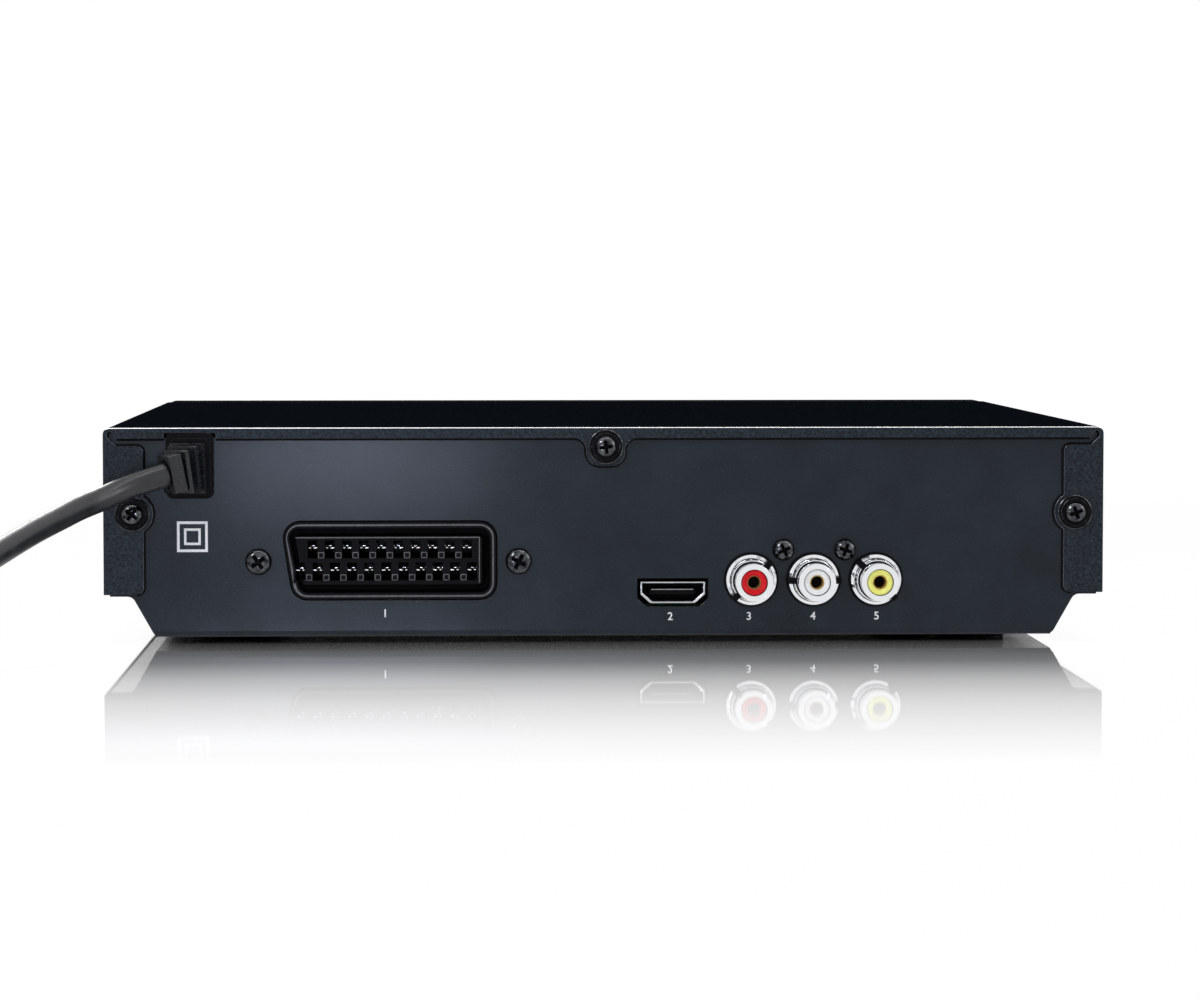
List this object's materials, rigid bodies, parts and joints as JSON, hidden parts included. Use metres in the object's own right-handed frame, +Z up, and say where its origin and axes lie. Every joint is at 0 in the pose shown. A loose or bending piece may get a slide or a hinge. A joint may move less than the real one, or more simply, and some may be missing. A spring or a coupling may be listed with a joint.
{
  "type": "dvd player",
  "caption": "Compact disc player box with a sliding tray, front buttons, rear sockets and a captive mains lead wound up beside it.",
  "frame": {"origin": "middle of the player's footprint at the plane of its feet, measured without the mains lead", "axes": "+Z up, the disc tray opens towards -Y, the rear sockets face +Y, +X is to the right seen from the front"},
  "size_m": [0.3614, 0.2889, 0.0486],
  "materials": {
    "panel_steel": "satin blue-black",
    "cover_steel": "fine-grained matt black",
    "black_rubber": "matt",
    "screw_steel": "bright black-nickel plate",
    "black_plastic": "fine satin",
    "dark_lens": "polished, smoked",
    "button_plastic": "glossy black",
    "circuit_board": "green solder mask",
    "plated_shell": "bright nickel plate",
    "tray_plastic": "dark grey satin",
    "gear_plastic": "off-white, smooth",
    "pulley_plastic": "grey, smooth",
    "motor_steel": "zinc plate",
    "rod_steel": "ground and polished",
    "transformer_core": "varnished tape and core",
    "yellow_plastic": "glossy",
    "white_plastic": "glossy",
    "red_plastic": "glossy",
    "lead_jacket": "soft black vinyl with a sheen"
  },
  "bodies": {
    "housing": {"chassis": "panel_steel", "foot_1": "black_rubber", "foot_2": "black_rubber", "foot_3": "black_rubber", "foot_4": "black_rubber", "top_cover": "cover_steel", "cover_screw_top": "screw_steel", "cover_screw_left": "screw_steel", "cover_screw_right": "screw_steel", "wide_socket_screw_1": "screw_steel", "wide_socket_screw_2": "screw_steel", "phono_screw_1": "screw_steel", "phono_screw_2": "screw_steel", "front_panel": "black_plastic", "display_window": "dark_lens", "front_board": "circuit_board", "media_socket": "plated_shell", "loader_frame": "black_plastic", "drive_belt": "black_rubber", "loading_motor": "motor_steel", "clamp_bridge": "panel_steel", "main_board": "circuit_board", "power_board": "circuit_board", "transformer": "transformer_core", "capacitor": "button_plastic", "wide_socket": "black_plastic", "wide_socket_contacts": "plated_shell", "digital_socket": "plated_shell", "digital_socket_tongue": "black_plastic", "phono_block": "black_plastic", "phono_barrel_yellow": "plated_shell", "phono_barrel_white": "plated_shell", "phono_barrel_red": "plated_shell", "phono_insulator_yellow": "yellow_plastic", "phono_insulator_white": "white_plastic", "phono_insulator_red": "red_plastic", "lead_coil": "lead_jacket", "coil_tie": "white_plastic", "mains_lead": "lead_jacket", "strain_relief": "lead_jacket", "mains_plug": "lead_jacket"},
    "tray": {"disc_tray": "tray_plastic", "tray_door": "black_plastic"},
    "drive_gear": {"tray_gear": "gear_plastic"},
    "drive_pulley": {"tray_pulley": "pulley_plastic"},
    "motor_wheel": {"motor_pulley": "pulley_plastic"},
    "deck_plate": {"deck": "black_plastic", "spindle_motor": "motor_steel", "guide_rod_1": "rod_steel", "guide_rod_2": "rod_steel", "sled_motor": "motor_steel"},
    "disc_table": {"turntable": "black_plastic"},
    "sled": {"pickup_sled": "black_plastic"},
    "sled_wheel": {"sled_gear": "gear_plastic"},
    "disc_clamp": {"clamper": "gear_plastic"},
    "open_close_key": {"open_close_button": "button_plastic"},
    "play_pause_key": {"play_pause_button": "button_plastic"},
    "stop_key": {"stop_button": "button_plastic"},
    "power_key": {"power_button": "button_plastic"}
  },
  "joints": [
    {"name": "tray_slide", "type": "slide", "parent": "housing", "child": "tray", "axis": [0, -1, 0], "range_m": [0, 0.125]},
    {"name": "drive_gear_spin", "type": "hinge", "parent": "housing", "child": "drive_gear", "pos_m": [0.01596, -0.0885, 0.0239], "axis": [0, 0, 1], "range_deg": [-720, 0]},
    {"name": "drive_pulley_spin", "type": "hinge", "parent": "housing", "child": "drive_pulley", "pos_m": [-0.00029, -0.0885, 0.0188], "axis": [0, 0, 1], "range_deg": [0, 1150]},
    {"name": "motor_wheel_spin", "type": "hinge", "parent": "housing", "child": "motor_wheel", "pos_m": [-0.04029, -0.0885, 0.0188], "axis": [0, 0, 1], "range_deg": [0, 3500]},
    {"name": "deck_tilt", "type": "hinge", "parent": "housing", "child": "deck_plate", "pos_m": [-0.03, 0.039, 0.022], "axis": [-1, 0, 0], "range_deg": [0, 6.5]},
    {"name": "turntable_spin", "type": "hinge", "parent": "deck_plate", "child": "disc_table", "pos_m": [-0.03, -0.03299, 0.01782], "axis": [0, -0.1132, 0.9936], "continuous": true},
    {"name": "sled_slide", "type": "slide", "parent": "deck_plate", "child": "sled", "axis": [0, 0.9936, 0.1132], "range_m": [0, 0.032]},
    {"name": "sled_wheel_spin", "type": "hinge", "parent": "deck_plate", "child": "sled_wheel", "pos_m": [-0.06062, -0.00741, 0.01419], "axis": [0, -0.1132, 0.9936], "range_deg": [0, 310]},
    {"name": "clamper_spin", "type": "hinge", "parent": "housing", "child": "disc_clamp", "pos_m": [-0.03, -0.033, 0.0362], "axis": [0, 0, 1], "continuous": true},
    {"name": "open_close_press", "type": "slide", "parent": "housing", "child": "open_close_key", "axis": [0, 1, 0], "range_m": [0, 0.0008], "stiffness_N_per_m": 1500, "springref_m": -0.0005},
    {"name": "play_pause_press", "type": "slide", "parent": "housing", "child": "play_pause_key", "axis": [0, 1, 0], "range_m": [0, 0.0008], "stiffness_N_per_m": 1500, "springref_m": -0.0005},
    {"name": "stop_press", "type": "slide", "parent": "housing", "child": "stop_key", "axis": [0, 1, 0], "range_m": [0, 0.0008], "stiffness_N_per_m": 1500, "springref_m": -0.0005},
    {"name": "power_press", "type": "slide", "parent": "housing", "child": "power_key", "axis": [0, 1, 0], "range_m": [0, 0.0008], "stiffness_N_per_m": 1500, "springref_m": -0.0005}
  ],
  "couplings": [
    {"joint": "drive_gear_spin", "follows": "tray_slide", "rad_per_m": -100},
    {"joint": "drive_pulley_spin", "follows": "tray_slide", "rad_per_m": 160},
    {"joint": "motor_wheel_spin", "follows": "tray_slide", "rad_per_m": 488.31},
    {"joint": "sled_wheel_spin", "follows": "sled_slide", "rad_per_m": 166.67}
  ]
}
